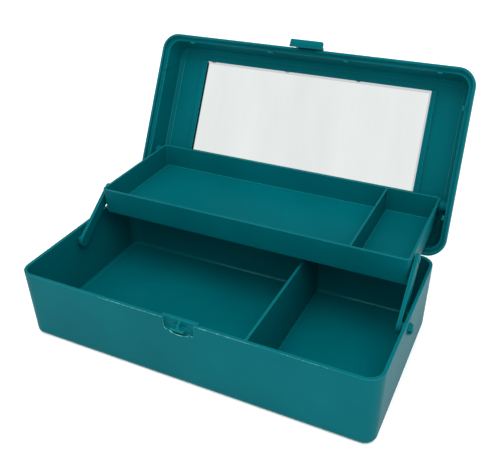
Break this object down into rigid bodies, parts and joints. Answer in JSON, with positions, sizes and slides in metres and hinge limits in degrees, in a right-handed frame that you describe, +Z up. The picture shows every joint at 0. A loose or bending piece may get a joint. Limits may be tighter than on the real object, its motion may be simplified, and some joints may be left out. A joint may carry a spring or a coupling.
{
  "type": "makeup storage case",
  "caption": "Hinged moulded plastic case with a mirror in the domed lid, a lift-out tray on side links, a front latch and a folding handle.",
  "frame": {"origin": "middle of the case's flat underside, below the middle of the bin's rim", "axes": "+X to the case's right seen from the front, +Y to the rear where the hinge is, +Z up"},
  "size_m": [0.28, 0.2452, 0.186],
  "materials": {
    "teal_plastic": "satin moulded",
    "mirror_glass": "polished",
    "pin_steel": "drawn wire"
  },
  "bodies": {
    "bin": {"base_bin": "teal_plastic", "hinge_pin_left": "pin_steel", "hinge_pin_right": "pin_steel"},
    "lid": {"lid_shell": "teal_plastic", "mirror": "mirror_glass", "latch_pin": "pin_steel"},
    "tray": {"tray": "teal_plastic"},
    "left_link": {"link_left": "teal_plastic"},
    "right_link": {"link_right": "teal_plastic"},
    "latch": {"latch": "teal_plastic"},
    "handle": {"handle": "teal_plastic"}
  },
  "joints": [
    {"name": "lid_hinge", "type": "hinge", "parent": "bin", "child": "lid", "pos_m": [0, 0.078, 0.046], "axis": [1, 0, 0], "range_deg": [0, 117.4]},
    {"name": "tray_pivot", "type": "hinge", "parent": "lid", "child": "tray", "pos_m": [0, 0.11665, 0.07513], "axis": [1, 0, 0], "range_deg": [-117.4, 0]},
    {"name": "left_link_foot", "type": "hinge", "parent": "bin", "child": "left_link", "pos_m": [-0.1355, -0.0037, 0.046], "axis": [1, 0, 0], "range_deg": [0, 117.4]},
    {"name": "right_link_foot", "type": "hinge", "parent": "bin", "child": "right_link", "pos_m": [0.1355, -0.0037, 0.046], "axis": [1, 0, 0], "range_deg": [0, 117.4]},
    {"name": "latch_swing", "type": "hinge", "parent": "lid", "child": "latch", "pos_m": [0, 0.16106, 0.17364], "axis": [1, 0, 0], "range_deg": [-60, 10]},
    {"name": "handle_fold", "type": "hinge", "parent": "lid", "child": "handle", "pos_m": [0, 0.14701, 0.09808], "axis": [1, 0, 0], "range_deg": [-27.4, 152.6]}
  ],
  "couplings": [
    {"joint": "tray_pivot", "follows": "lid_hinge", "ratio": -1},
    {"joint": "left_link_foot", "follows": "lid_hinge", "ratio": 1},
    {"joint": "right_link_foot", "follows": "lid_hinge", "ratio": 1}
  ]
}
